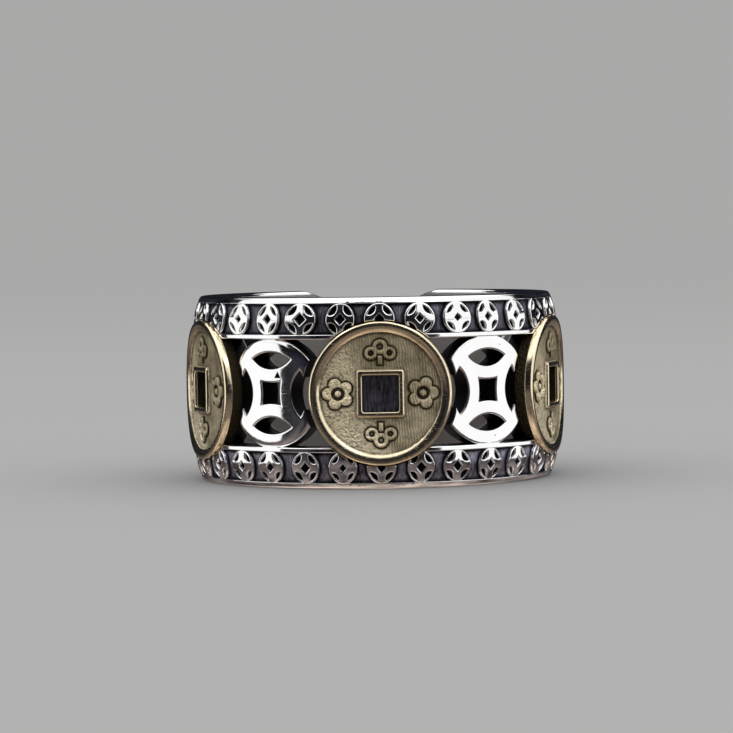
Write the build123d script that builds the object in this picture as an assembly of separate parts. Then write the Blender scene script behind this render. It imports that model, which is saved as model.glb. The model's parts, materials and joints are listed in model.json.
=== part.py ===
from build123d import *
import math
import os

# Coin ring: an open silver band with two rails of small raised cash coins, pierced silver coins
# between the rails, and brass coins seated on the front and sides. Sizes are in millimetres and
# angles in degrees. The finger axis is along Z, the ring lies on its side with its lower edge at
# z = 0, and azimuth 0 is the front, at -Y, growing towards +X.

# The band's wall
finger_radius = 9.5         # the bore that the finger goes through
plate_wall = 1.6            # wall at the pierced coins and the plain ends
rail_step = 0.2             # how far the rails stand out from the pierced coins
taper_drop = 0.45           # how far a rail curves in towards its outer edge
taper_height = 1.8          # the part of a rail's height that curves in
edge_round = 0.25           # rounding of the four long edges

# Heights
window_height = 6.4         # openwork between the rails
rail_height = 2.5           # each rail
outer_border = 0.36         # smooth strip along the outer edge of a rail
inner_border = 0.3          # smooth strip along the window edge of a rail

# Small motifs along the rails
motif_spacing = 2.375       # along the rail, from one motif to the next
motif_merge = 0.04          # how far a motif's circle runs into the borders
motif_ring_width = 0.18
motif_lens_width = 0.25
motif_lens_length = 0.72
motif_square = 0.44         # side of the small square pocket, which stands on its corner
relief_depth = 0.25         # depth of the cells between the motifs
end_border = 0.35           # plain strip that closes the last cell

# Pierced silver coins
silver_merge = 0.1          # how far a coin's circle runs into the rails
silver_reach = 2.315        # from a coin's middle to where it stops beside a brass coin
silver_ring_width = 0.84
silver_lens_width = 1.03
silver_lens_length = 2.8
silver_square = 1.42
silver_square_bow = 0.07    # how far each side of the square bows in

# Brass coins
brass_stand = 0.4           # how far the middle of a coin's face stands out from the pierced coins
brass_overlap = 1.07        # how far a coin reaches over each rail
brass_thickness = 1.0
brass_bend = 22.0           # bending radius of a coin's face
brass_rim_width = 0.62
brass_rim_bevel = 0.14
brass_field_depth = 0.28    # how far the field lies below the rim
brass_hole = 2.18           # square hole
brass_hole_border = 0.31    # raised strip round the hole
brass_hole_corner = 0.16    # corner rounding of that strip
ornament_size = 1.9         # raised ornaments on the field
ornament_height = 0.17
fuse_depth = 0.05           # how far an ornament is sunk so that it is one with the coin

# Seats of the brass coins
seat_clearance = 0.06       # between a brass coin and the silver round and under it
seat_inset = 0.27           # how far the boss under a coin stays inside the coin's edge
seat_gap = 0.39             # open gap between a brass coin's edge and the pierced coins

# The open back
end_window = 1.0            # openwork left between the last pierced coin and the plain end
end_gap = 0.5               # between the tips of the two ends
end_length = 5.3            # length of the rounded part of an end
end_runout = 0.12           # how far past the long edges the rounding would reach

# Making
tool_margin = 2.0           # how far a cutting outline reaches past what it cuts
snap = 0.01                 # two heights closer than this are the same

# Radii and heights that follow
plate_radius = finger_radius + plate_wall
rail_radius = plate_radius + rail_step
rim_radius = rail_radius - taper_drop
brass_face = plate_radius + brass_stand
band_height = window_height + 2 * rail_height
middle = band_height / 2
window_top = window_height / 2
relief_low = window_top + inner_border
relief_high = middle - outer_border
motif_height = (relief_low + relief_high) / 2
motif_radius = (relief_high - relief_low) / 2 + motif_merge
silver_radius = window_top + silver_merge
brass_radius = window_top + brass_overlap
seat_radius = brass_radius - seat_inset
seat_gap_radius = brass_radius + seat_gap
taper_start = middle - taper_height
taper_arc = (taper_height ** 2 + taper_drop ** 2) / (2 * taper_drop)

# Azimuths that follow
coin_step = math.degrees((seat_gap_radius + silver_reach) / plate_radius)
brass_azimuths = {"front": 0, "left": -2 * coin_step, "right": 2 * coin_step}
silver_azimuths = (-3 * coin_step, -coin_step, coin_step, 3 * coin_step)
window_end = 3 * coin_step + math.degrees(math.asin(silver_radius / plate_radius) + end_window / plate_radius)
motif_pitch = math.degrees(motif_spacing / rail_radius)
motif_steps = math.ceil(window_end / motif_pitch)
relief_end = (motif_steps + 0.5) * motif_pitch

# Reach of the cutting tools, and the move that centres the ring's box over the origin
reach_in = finger_radius - tool_margin
reach_out = rail_radius + tool_margin
back_reach = math.sqrt(plate_radius ** 2 - (end_gap / 2) ** 2)
centring = (brass_face - back_reach) / 2


def facing(azimuth, reach=0.0, height=0.0):
    """A plane that faces straight out of the band: x runs round the band, y up."""
    a = math.radians(azimuth)
    out = (math.sin(a), -math.cos(a), 0)
    origin = (reach * out[0], reach * out[1], middle + height)
    return Plane(origin=origin, x_dir=(math.cos(a), math.sin(a), 0), z_dir=out)


def punch(sketch, azimuth, height=0.0):
    """A flat outline driven radially through the band's wall."""
    return extrude(facing(azimuth, reach_in, height) * sketch, amount=reach_out - reach_in)


def lens(radius, ring_width, width, length):
    """The upper petal opening of a cash-coin pattern: two arcs that meet in points."""
    top = radius - ring_width
    tip = math.sqrt(top ** 2 - (length / 2) ** 2)
    left = (-length / 2, tip)
    right = (length / 2, tip)
    return make_face([ThreePointArc(left, (0, top), right),
                      ThreePointArc(right, (0, top - width), left)])


def bowed_square(side, bow):
    """A square whose sides bow in."""
    h = side / 2
    corners = [(-h, h), (h, h), (h, -h), (-h, -h)]
    middles = [(0, h - bow), (h - bow, 0), (0, bow - h), (bow - h, 0)]
    arcs = [ThreePointArc(corners[i], middles[i], corners[(i + 1) % 4]) for i in range(4)]
    return make_face(arcs)


def taper_point(height, drop):
    """Radius of the rail's outer face at a height above the middle, set back by drop."""
    rise = max(0.0, height - taper_start)
    return rail_radius - taper_arc + math.sqrt((taper_arc - drop) ** 2 - rise ** 2)


def rail_face(height_from, height_to, drop=0.0, flip=1):
    """The rail's outer face as lines and an arc in the (radius, height) plane."""
    bend_from = max(height_from, taper_start)
    heights = (bend_from, (bend_from + height_to) / 2, height_to)
    curve = [(taper_point(height, drop), middle + flip * height) for height in heights]
    edges = [ThreePointArc(*curve)]
    if bend_from > height_from:
        edges.insert(0, Line((rail_radius - drop, middle + flip * height_from), curve[0]))
    return edges


def band_section():
    """Half section of the band at the openwork, with its four long edges rounded."""
    edges = []
    for flip in (1, -1):
        edges += rail_face(window_top, middle, flip=flip)
    high = middle + window_top
    low = middle - window_top
    rest = [(rim_radius, band_height), (finger_radius, band_height), (finger_radius, 0), (rim_radius, 0)]
    step = [(taper_point(window_top, 0), high), (plate_radius, high), (plate_radius, low),
            (taper_point(window_top, 0), low)]
    for line in (rest, step):
        edges += [Line(line[i], line[i + 1]) for i in range(3)]
    section = make_face(edges)
    ends = [v for v in section.vertices() if min(v.Y, band_height - v.Y) < snap]
    return fillet(ends, edge_round)


def sweep(section, start, end):
    """Turns a half section about the finger axis from one azimuth to another."""
    upright = Plane(origin=(0, 0, 0), x_dir=(0, -1, 0), z_dir=(-1, 0, 0))
    return revolve(upright * section, Axis.Z, revolution_arc=end - start).rotate(Axis.Z, start)


def wall():
    """The band's wall before it is pierced: rails in front, plain ends behind."""
    section = band_section()
    plain = section & Pos(0, middle) * Rectangle(2 * plate_radius, 2 * band_height)
    front = sweep(section, -relief_end, relief_end)
    back = sweep(plain, relief_end, 360 - relief_end)
    return front + back


def bosses(radius, azimuths):
    """Round plugs through the wall, one at each azimuth."""
    return [punch(Circle(radius), azimuth) for azimuth in azimuths]


def openwork():
    """What is cut away between the rails, round the pierced coins and the seats."""
    ring_section = Pos((reach_in + reach_out) / 2, middle) * Rectangle(reach_out - reach_in, window_height)
    field = sweep(ring_section, -window_end, window_end)
    gaps = bosses(seat_gap_radius, brass_azimuths.values())
    coins = [coin - gaps for coin in bosses(silver_radius, silver_azimuths)]
    return field - coins - bosses(seat_radius, brass_azimuths.values())


def silver_piercings():
    """Four petals and a bowed square through each silver coin."""
    petal = lens(silver_radius, silver_ring_width, silver_lens_width, silver_lens_length)
    shapes = [petal.rotate(Axis.Z, 90 * i) for i in range(4)]
    shapes.append(bowed_square(silver_square, silver_square_bow))
    return [punch(shape, azimuth) for azimuth in silver_azimuths for shape in shapes]


def relief_layer(start, end):
    """The skin of a rail, from the floor of its relief outwards."""
    floor = rail_face(relief_low, relief_high, relief_depth)
    low = (taper_point(relief_low, relief_depth), middle + relief_low)
    high = (taper_point(relief_high, relief_depth), middle + relief_high)
    edges = floor + [
        Line(high, (reach_out, high[1])),
        Line((reach_out, high[1]), (reach_out, low[1])),
        Line((reach_out, low[1]), low),
    ]
    return sweep(make_face(edges), start, end)


def relief_cell():
    """The hollow between two motifs, from the motif at the front to the next one."""
    discs = [punch(Circle(motif_radius), azimuth, motif_height) for azimuth in (0, motif_pitch)]
    return relief_layer(0, motif_pitch) - discs


def relief_last_cell():
    """The half hollow after the last motif."""
    border = math.degrees(end_border / rail_radius)
    return relief_layer(0, motif_pitch / 2 - border) - punch(Circle(motif_radius), 0, motif_height)


def motif_pockets():
    """Four slanted petals and a square on its corner, sunk in the front motif."""
    petal = lens(motif_radius, motif_ring_width, motif_lens_width, motif_lens_length)
    shapes = [petal.rotate(Axis.Z, 45 + 90 * i) for i in range(4)]
    shapes.append(Rectangle(motif_square, motif_square).rotate(Axis.Z, 45))
    layer = relief_layer(-motif_pitch / 2, motif_pitch / 2)
    return [punch(shape, 0, motif_height) & layer for shape in shapes]


def rail_relief():
    """All that is sunk into the two rails."""
    cell = relief_cell()
    last = relief_last_cell()
    pockets = motif_pockets()
    tools = []
    for step in range(-motif_steps, motif_steps + 1):
        tools += [pocket.rotate(Axis.Z, step * motif_pitch) for pocket in pockets]
        if step < motif_steps:
            tools.append(cell.rotate(Axis.Z, step * motif_pitch))
    after = last.rotate(Axis.Z, motif_steps * motif_pitch)
    tools += [after, mirror(after, about=Plane.YZ)]
    level = Plane(origin=(0, 0, middle), z_dir=(0, 0, 1))
    return tools + [mirror(tool, about=level) for tool in tools]


def bent_layer(azimuth, low, high, outline):
    """A flat outline cut out of a bent sheet that lies between two depths below a coin's face."""
    ring = Circle(brass_bend - high) - Circle(brass_bend - low)
    sheet = extrude(ring, amount=band_height)
    placed = Pos(0, brass_bend - brass_face, 0) * sheet
    back = brass_face - brass_thickness - tool_margin
    front = extrude(facing(0, back) * outline, amount=brass_thickness + 2 * tool_margin)
    return (placed & front).rotate(Axis.Z, azimuth)


def seat(azimuth):
    """The pocket in the rails and the boss that a brass coin lies in; the boss closes its square hole."""
    outline = Circle(brass_radius + seat_clearance)
    return bent_layer(azimuth, brass_thickness + seat_clearance, -tool_margin, outline)


def end_gap_tool():
    """The opening between the two rounded ends at the back."""
    reach = end_gap / 2 + end_length
    ends = [Pos(x, 0) * Ellipse(end_length, middle + end_runout) for x in (-reach, reach)]
    outline = Rectangle(2 * reach, 2 * band_height) - ends
    return punch(outline, 180)


def silver_band():
    """The cast band, one solid."""
    band = wall() - end_gap_tool()
    band = band - openwork()
    band = band - silver_piercings()
    band = band - [seat(azimuth) for azimuth in brass_azimuths.values()]
    return band - rail_relief()


def cloud():
    """A three-lobed cloud with open curls on a short foot; its sizes are shares of an ornament's."""
    lobes = [(-0.29, -0.07, 0.21), (0.29, -0.07, 0.21), (0.0, 0.13, 0.24)]    # x, y, radius
    eye = 0.4                                                                # share of a lobe
    head = Sketch() + [Pos(x, y) * Circle(radius) for x, y, radius in lobes]
    head = head - [Pos(x, y) * Circle(eye * radius) for x, y, radius in lobes]
    foot = Pos(0, -0.28) * Rectangle(0.16, 0.3)
    return scale(head + foot, ornament_size)


def blossom():
    """A five-petalled blossom with an open ring round its eye; its sizes are shares too."""
    petals = Sketch() + [spot * Circle(0.2) for spot in PolarLocations(0.3, 5, start_angle=90)]
    return scale(petals - Circle(0.2) + Circle(0.11), ornament_size)


def brass_coin():
    """The front brass coin: raised rim, bordered square hole and four raised ornaments."""
    border = brass_hole + 2 * brass_hole_border
    field_radius = brass_radius - brass_rim_width
    field = Circle(field_radius) - RectangleRounded(border, border, brass_hole_corner)
    body = bent_layer(0, brass_thickness, 0, Circle(brass_radius))
    body = chamfer(body.edges().sort_by(Axis.Y)[0], brass_rim_bevel)
    body = body - bent_layer(0, brass_field_depth, -tool_margin, field)
    body = body - punch(Rectangle(brass_hole, brass_hole), 0)
    spot = Pos(0, (border / 2 + field_radius) / 2)
    bottom = brass_field_depth + fuse_depth
    top = brass_field_depth - ornament_height
    for turn, shape in enumerate((cloud(), blossom(), cloud(), blossom())):
        outline = (spot * shape).rotate(Axis.Z, 90 * turn)
        body = body + bent_layer(0, bottom, top, outline)
    return body


os.makedirs("parts", exist_ok=True)
place = Pos(0, centring, 0)
export_step(place * silver_band(), "parts/silver_band.step")
coin = brass_coin()
for name, azimuth in brass_azimuths.items():
    export_step(place * coin.rotate(Axis.Z, azimuth), f"parts/brass_coin_{name}.step")
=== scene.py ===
import json
import math

import bmesh
import bpy
import numpy as np
from mathutils import Matrix, Vector
from mathutils.geometry import delaunay_2d_cdt


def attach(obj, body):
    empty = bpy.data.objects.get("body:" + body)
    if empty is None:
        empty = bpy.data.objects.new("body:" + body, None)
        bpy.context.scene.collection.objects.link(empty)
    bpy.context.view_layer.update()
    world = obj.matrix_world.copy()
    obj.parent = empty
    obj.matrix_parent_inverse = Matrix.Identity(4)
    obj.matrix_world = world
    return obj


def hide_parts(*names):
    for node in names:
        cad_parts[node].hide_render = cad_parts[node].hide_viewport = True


# The coin ring rests on the edge of its band, with the finger axis upright. Azimuth 0 is the front, at -Y,
# and azimuths grow towards +X. Forms are worked out in millimetres and placed in metres.
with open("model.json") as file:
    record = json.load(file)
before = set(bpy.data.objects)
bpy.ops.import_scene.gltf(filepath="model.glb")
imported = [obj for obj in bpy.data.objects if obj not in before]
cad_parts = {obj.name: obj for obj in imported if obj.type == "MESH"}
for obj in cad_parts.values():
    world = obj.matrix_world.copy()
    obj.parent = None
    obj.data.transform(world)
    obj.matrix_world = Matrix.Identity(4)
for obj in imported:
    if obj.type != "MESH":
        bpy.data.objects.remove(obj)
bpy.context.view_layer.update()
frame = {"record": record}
MM = 0.001
AXIS_Y = frame["record"]["mounts"][0]["pos_m"][1]
FULL_TURN = 2 * math.pi
FAR = 9.0  # longer than any distance that is measured on the ring


# Sizes of the band, in millimetres, as in the CAD source
BORE = 9.5
PLATE = 11.1  # outside of the pierced coins and the plain ends
RAIL = 11.3  # outside of the rails
MIDDLE = 5.7  # half the band's height
WINDOW = 3.2  # half the height of the openwork
TAPER_START = 3.9  # height over the middle where a rail starts to lean in
TAPER_ARC = 3.825  # radius of that lean
EDGE = 0.25  # rounding of the band's two edges
RELIEF = 0.25  # depth of the ground between the motifs
RELIEF_LOW = 3.5  # the ground reaches up from here
RELIEF_HIGH = 5.34  # to here
MOTIF_HEIGHT = 4.42
MOTIF_RADIUS = 0.96
MOTIF_SPACING = 2.375
MOTIF_STEPS = 11  # from the front round to the last motif
CELL_BORDER = 0.35  # behind the last cell
WINDOW_BORDER = 1.0  # from the last silver coin to the end of the openwork
SILVER_REACH = 2.315  # half the way between the pockets of two brass coins
BOSS = 4.0  # radius of the closed ground behind a brass coin
SEAT = 4.33  # radius of the pocket that a brass coin lies in
SEAT_GAP = 4.66  # the silver coins stop this far from a brass coin's axis
SEAT_DEPTH = 1.06
SEAT_WALL = 0.02  # a pocket's wall leans out by this much
BRASS_FACE = 11.5  # a brass coin's middle lies this far out
BRASS_BEND = 22.0  # radius that a brass coin is bent to
END_GAP = 0.5  # between the two ends at the back
END_LENGTH = 5.3  # half the length of the oval that rounds an end
END_RISE = 5.82  # half its height

# A silver coin: the ring outside its petals, their width and length, and how far its square's sides bow in
SILVER = {"radius": 3.3, "ring": 0.84, "width": 1.03, "length": 2.8, "square": 1.42, "bow": 0.07}

# Azimuths, in radians
COIN_STEP = (SEAT_GAP + SILVER_REACH) / PLATE
PITCH = MOTIF_SPACING / RAIL
RELIEF_END = (MOTIF_STEPS + 0.5) * PITCH
CELL_END = RELIEF_END - CELL_BORDER / RAIL
WINDOW_END = 3 * COIN_STEP + math.asin(SILVER["radius"] / PLATE) + WINDOW_BORDER / PLATE
NEAR_END = math.radians(160)

# Softened edges that the CAD leaves sharp: a width and a drop, or one number for both
DRAFT = 0.03  # width of the relief's steep walls
FOOT = (0.06, 0.03)  # fillet at the foot of those walls
SOFT = 0.06  # motifs and pockets
LINE_SOFT = 0.04  # straight borders of the ground
BORDER_SOFT = 0.05  # the rails' own borders
COIN_SOFT = {"left": (0.6, 0.11), "right": (0.3, 0.03)}  # rims of the silver coins
GAP_SOFT = (0.25, 0.02)  # the silver coins' sides along a brass coin
PETAL_SOFT = (0.1, 0.06)
WINDOW_SOFT = (0.15, 0.08)
END_SOFT = (0.25, 0.12)
END_FADE = 0.3  # the end's softening dies out over this at the band's inner edge

# Shares of a softened edge's width at which the mesh has a line, and millimetres outside a pocket
ROWS = (0.0, 0.1, 0.35, 1.0, 1.3)
COIN_ROWS = (0.0, 0.06, 0.16, 0.32, 0.6, 1.0, 1.12)
SEAT_LINES = (0, SEAT_WALL, 0.026, 0.037, 0.07)

# How dark the metal is painted: blackened on sunken ground, with painted shade that makes it black in a
# corner
OPEN_DARK = 0.6  # in the middle of a sunken ground
CORNER_SHADE_WIDTH = 0.24  # painted shade along the foot of the relief
COIN_CORNER_SHADE_WIDTH = 0.16  # painted shade along the foot of a brass coin's rim, border and ornaments
WALL_EDGE = 0.11  # bright edge of an opening's wall

# Spacing of the mesh, in millimetres but for the degrees between columns
COLUMN = 1.5
LINE_STEP = 0.3
ARC_STEP = 0.12
BOSS_STEP = 0.15
DISC_STEP = 0.1
PETAL_STEP = 0.09
SQUARE_STEP = 0.2
FACE_GRID = 0.4
GROUND_GRID = 0.16
BORE_GRID = 0.45
BORE_TOP = 5.4  # the bore's grid stops below the band's edge
OVER = 0.1  # lines run on this far past what they cross, in millimetres or radians
PAST_FRONT = -0.2  # and this far past the front's middle
EDGE_ROWS = 6
END_ROWS = 44
SHAKE = 0.3  # loose points move by up to this share of their spacing
SEEDS = {"face": 1, "ground": 2, "coin": 3, "coin back": 4}
MERGE = 2e-4  # points nearer than this become one
EXACT = 1e-6  # for lines that are met point by point
SNAP = 3e-4  # points this near to a middle line lie on it
TIGHT, SLACK, WIDE_SLACK = 1e-4, 1e-3, 5e-3  # points this near to a line count as on it
BORE_SLACK = 0.01
WELD = 5e-8  # metres
SHARP = math.radians(50)

# The motifs of each rail as they were cut by hand, from the front round to one side: turn from the even
# place in degrees, width against height, then the ring, petal width, petal length and square
CUT_MOTIFS = {
    ("left", "upper"): [
        (0, 0.95, 0.14, 0.3, 0.74, 0.48),
        (0, 0.91, 0.1, 0.36, 0.8, 0.5),
        (0.8, 1.05, 0.12, 0.3, 0.8, 0.52),
        (0.2, 0.84, 0.17, 0.25, 0.77, 0.44),
        (0.4, 0.95, 0.19, 0.21, 0.75, 0.36)],
    ("right", "upper"): [
        (0, 0.95, 0.14, 0.3, 0.74, 0.48),
        (0.4, 0.97, 0.17, 0.25, 0.75, 0.38),
        (0.6, 0.96, 0.17, 0.22, 0.66, 0.34),
        (-0.3, 0.84, 0.12, 0.32, 0.64, 0.42),
        (-0.1, 0.92, 0.13, 0.3, 0.66, 0.4)],
    ("left", "lower"): [
        (0, 0.92, 0.14, 0.3, 0.72, 0.42),
        (-0.2, 0.9, 0.15, 0.25, 0.64, 0.36),
        (-0.2, 0.91, 0.12, 0.32, 0.74, 0.5),
        (0.1, 0.93, 0.13, 0.27, 0.7, 0.44),
        (-0.4, 0.98, 0.13, 0.3, 0.66, 0.4)],
    ("right", "lower"): [
        (0, 0.92, 0.14, 0.3, 0.72, 0.42),
        (0.2, 0.86, 0.12, 0.32, 0.72, 0.5),
        (0, 0.92, 0.1, 0.34, 0.74, 0.48),
        (0, 0.89, 0.11, 0.32, 0.7, 0.46),
        (-0.3, 0.91, 0.12, 0.3, 0.66, 0.44)],
}

# The motifs farther round: an even one, and by how much each of its numbers may vary
EVEN = (0.0, 0.92, 0.16, 0.27, 0.7, 0.44)
VARIED = (0.3, 0.04, 0.02, 0.03, 0.04, 0.05)
NEAR_MOTIF = 0.25  # a motif reaches less than this many radians to a side

# Three-cornered casting pits: azimuth in degrees, height over the middle, and size
PITS = {
    ("left", "upper"): [(33.3, 1.05, 0.23)],
    ("right", "upper"): [(41.0, 2.7, 0.05)],
    ("right", "lower"): [(38.5, 2.75, 0.06)],
}
PIT_HALF = [(0, 1.2), (-0.52, 0.3), (-1.04, -0.6)]  # from the top down the left side
PIT_OUTLINE = np.array(PIT_HALF + [(0, -0.6)] + [(-s, up) for s, up in reversed(PIT_HALF)])
PIT_LINES = (1, 0.83, 0.4)
PIT_REACH = 0.6  # from the middle to a side, as a share of the size
PIT_DEPTH = 0.9
PIT_DARK = (8, 1.3)  # painted shade in a pit: how fast it grows dark, and how dark
SINE_60 = 0.866


def soft_edge(depth, width, drop):
    """How far a face falls off at a distance inside its edge."""
    share = 1 - np.clip(depth / width, 0, 1)
    return drop * (1 - np.sqrt(1 - share ** 2))


def arc(middle, radius, start, end, step):
    """Points on an arc, from one angle to another in radians."""
    count = max(2, math.ceil(abs(end - start) * radius / step))
    angles = np.linspace(start, end, count + 1)
    return np.stack([middle[0] + radius * np.cos(angles), middle[1] + radius * np.sin(angles)], 1)


def turned(curve, angle):
    """A flat curve turned round the origin."""
    c, s = math.cos(angle), math.sin(angle)
    return curve @ np.array([[c, s], [-s, c]])


def all_round(side):
    """Four copies of a side, turned a quarter each, as one closed curve."""
    return np.concatenate([turned(side, k * math.pi / 2)[:-1] for k in range(4)])


def petal_form(coin):
    """Rim radius, and the middle and radius of the inner arc, of a coin's petals."""
    rim = coin["radius"] - coin["ring"]
    half = coin["length"] / 2
    sag = math.sqrt(rim ** 2 - half ** 2) - rim + coin["width"]
    bow = (half ** 2 + sag ** 2) / (2 * sag)
    return rim, rim - coin["width"] + bow, bow


def petal_distance(x, y, coin):
    """Distance to the nearest of a coin's four petals, below zero inside one."""
    rim, low, bow = petal_form(coin)
    x, y = np.abs(x), np.abs(y)
    nearest = np.minimum(np.hypot(x, y - low), np.hypot(x - low, y)) - bow
    return np.maximum(np.hypot(x, y) - rim, nearest)


def petal_curve(coin, out, step):
    """Outline of the upper petal, moved outwards."""
    rim, low, bow = petal_form(coin)
    rim, bow = rim + out, bow + out
    y = (rim ** 2 - bow ** 2 + low ** 2) / (2 * low)
    x = math.sqrt(rim ** 2 - y ** 2)
    top = arc((0, 0), rim, math.atan2(y, x), math.atan2(y, -x), step)
    left, right = math.atan2(y - low, -x) % FULL_TURN, math.atan2(y - low, x) % FULL_TURN
    return np.concatenate([top, arc((0, low), bow, left, right, step)[1:]])


def square_form(coin):
    """Middle distance and radius of the arcs that bow a square's sides in."""
    half = coin["square"] / 2
    bow = (half ** 2 + coin["bow"] ** 2) / (2 * coin["bow"])
    return half - coin["bow"] + bow, bow


def square_distance(x, y, coin):
    """Distance to a silver coin's bowed square, below zero inside it."""
    away, bow = square_form(coin)
    x, y = np.abs(x), np.abs(y)
    return bow - np.minimum(np.hypot(x, y - away), np.hypot(x - away, y))


def square_curve(coin, out, step):
    """Outline of a silver coin's bowed square, moved outwards."""
    away, bow = square_form(coin)
    bow = bow - out
    corner = (away - math.sqrt(2 * bow ** 2 - away ** 2)) / 2
    side = arc((0, away), bow, math.atan2(corner - away, -corner), math.atan2(corner - away, corner), step)
    return np.concatenate([all_round(side[::-1]), side[-1:]])


def plain_square(half, step):
    """Outline of a motif's square."""
    count = 1 + math.ceil(2 * half / step)
    side = np.stack([np.linspace(half, -half, count), np.full(count, half)], 1)
    return np.concatenate([all_round(side), side[:1]])


def cut(curve, keep):
    """The runs of a curve that lie where keep holds, with one point more at each end."""
    good = keep(curve)
    runs, run = [], []
    for i in range(len(curve) - 1):
        if good[i] or good[i + 1]:
            run = run or [curve[i]]
            run.append(curve[i + 1])
        elif run:
            runs.append(np.array(run))
            run = []
    return runs + ([np.array(run)] if run else [])


def scattered(low, high, spacing, seed):
    """Points of a shaken grid over a flat box."""
    shake = np.random.default_rng(seed)
    s, w = np.meshgrid(np.arange(low[0], high[0], spacing), np.arange(low[1], high[1], spacing))
    grid = np.stack([s.ravel(), w.ravel()], 1)
    return (grid + shake.uniform(-SHAKE, SHAKE, grid.shape) * spacing).tolist()


def triangles(curves, points, inside, merge=MERGE):
    """Joins flat curves and loose points into triangles, and keeps those whose middle is inside."""
    flat, edges = [], []
    for curve in curves:
        edges += [(len(flat) + i, len(flat) + i + 1) for i in range(len(curve) - 1)]
        flat += [Vector(p) for p in curve.tolist()]
    flat += [Vector(p) for p in points]
    found = delaunay_2d_cdt(flat, edges, [], 0, merge, False)
    flat = np.array([tuple(p) for p in found[0]])
    faces = np.array([f for f in found[2] if len(f) == 3])
    faces = faces[inside(flat[faces].mean(axis=1))]
    used, faces = np.unique(faces, return_inverse=True)
    return flat[used], faces.reshape(-1, 3)


def rim_edges(faces):
    """Edges that only one triangle has, in its direction."""
    edges = np.concatenate([faces[:, [0, 1]], faces[:, [1, 2]], faces[:, [2, 0]]])
    known = set(map(tuple, edges.tolist()))
    return np.array([e for e in edges.tolist() if (e[1], e[0]) not in known])


def rim_points(edges):
    """The points of some edges, each once, and where each edge finds its two among them."""
    rim, spots = np.unique(edges, return_inverse=True)
    return rim, spots.reshape(-1, 2)


def wall_faces(rim, spots, first):
    """Four-sided faces from a rim down three rows of new points, of which the first has a given number."""
    rows = [rim] + [first + k * len(rim) + np.arange(len(rim)) for k in range(3)]
    a, b = spots.T
    walls = [np.stack([high[b], high[a], low[a], low[b]], 1) for high, low in zip(rows, rows[1:])]
    return np.concatenate(walls).tolist()


# The band's half section beyond its outer face: edge, top and inner edge
def section_rows():
    """Rows round the upper edge as (way, radius, height, outward radius, outward height)."""
    centre = RAIL - TAPER_ARC
    rise = MIDDLE - EDGE - TAPER_START
    out = centre + math.sqrt((TAPER_ARC - EDGE) ** 2 - rise ** 2)
    first = math.atan2(rise, out - centre)
    rows = [(a, out) for a in np.linspace(first, math.pi / 2, EDGE_ROWS)]
    rows += [(a, BORE + EDGE) for a in np.linspace(math.pi / 2, math.pi, EDGE_ROWS)]
    made = []
    for angle, middle in rows:
        r = middle + EDGE * math.cos(angle)
        z = MIDDLE - EDGE + EDGE * math.sin(angle)
        way = z if not made else made[-1][0] + math.hypot(r - made[-1][1], z - made[-1][2])
        made.append((way, r, z, math.cos(angle), math.sin(angle)))
    return np.array(made)


SECTION = section_rows()
FACE_TOP = SECTION[0, 0]
WAY_END = SECTION[-1, 0]
LIP = SECTION[-1, 2]


def rail_radius(z):
    """Radius of a rail's face, which leans in towards the edge."""
    rise = np.clip(z - TAPER_START, 0, None)
    return RAIL - TAPER_ARC + np.sqrt(np.clip(TAPER_ARC ** 2 - rise ** 2, 0, None))


def end_reach(z):
    """Distance of a rounded end from the plane through the front and back."""
    return END_GAP / 2 + END_LENGTH * (1 - np.sqrt(1 - (z / END_RISE) ** 2))


def bore_end(z):
    """Azimuth at which the bore ends."""
    return math.pi - np.arcsin(end_reach(z) / BORE)


def end_line(ways):
    """Azimuth at which the outside ends, along the way round its section."""
    way, radius, height = SECTION[:, :3].T
    z = np.where(ways < FACE_TOP, ways, np.interp(ways, way, height))
    r = np.where(ways < FACE_TOP, np.minimum(rail_radius(ways), PLATE), np.interp(ways, way, radius))
    return math.pi - np.arcsin(end_reach(z) / r)


END_WAYS = np.concatenate([np.linspace(0, LIP, END_ROWS), SECTION[:, 0]])
END_CURVE = np.stack([end_line(END_WAYS) * PLATE, END_WAYS], 1)


def end_distance(s, w):
    """Distance from the band's end, measured on the unrolled face."""
    far = np.full(s.shape, FAR)
    near = s > NEAR_END * PLATE
    p = np.stack([s[near], w[near]], 1)[:, None]
    a, b = END_CURVE[:-1], END_CURVE[1:]
    along = np.clip(((p - a) * (b - a)).sum(-1) / ((b - a) ** 2).sum(-1), 0, 1)
    far[near] = np.linalg.norm(p - a - along[..., None] * (b - a), axis=-1).min(axis=1)
    return far


def brass_axis(az):
    """Azimuth of the nearest brass coin."""
    return np.where(az < COIN_STEP, 0, 2 * COIN_STEP)


def beside(az, radius):
    """Sideways distance from the nearest brass coin's axis."""
    return radius * np.sin(az - brass_axis(az))


def silver_place(az):
    """Sideways distance from the nearest silver coin's axis."""
    return PLATE * np.sin(az - np.where(az < 2 * COIN_STEP, COIN_STEP, 3 * COIN_STEP))


def silver_distances(az, z):
    """Distances inside a silver coin's rim, from the gap beside it, and outside its piercings."""
    x = silver_place(az)
    rim, gap = SILVER["radius"] - np.hypot(x, z), np.hypot(beside(az, PLATE), z) - SEAT_GAP
    return rim, gap, np.minimum(petal_distance(x, z, SILVER), square_distance(x, z, SILVER))


def wall_stands(az, z):
    """Whether there is metal at a place of the wall, whose openings run straight to the ring's axis."""
    coin = np.min(silver_distances(az, z), axis=0) > 0
    boss = np.hypot(beside(az, RAIL), z) < BOSS
    return (az > 0) & (z > 0) & ((z > WINDOW) | (az > WINDOW_END) | coin | boss)


def outside_stands(flat):
    az, w = flat[:, 0] / PLATE, flat[:, 1]
    return wall_stands(az, w) & (w < WAY_END) & (az < end_line(w))


def inside_stands(flat):
    az, z = flat[:, 0] / BORE, flat[:, 1]
    return wall_stands(az, z) & (z < LIP) & (az < bore_end(z))


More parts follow.
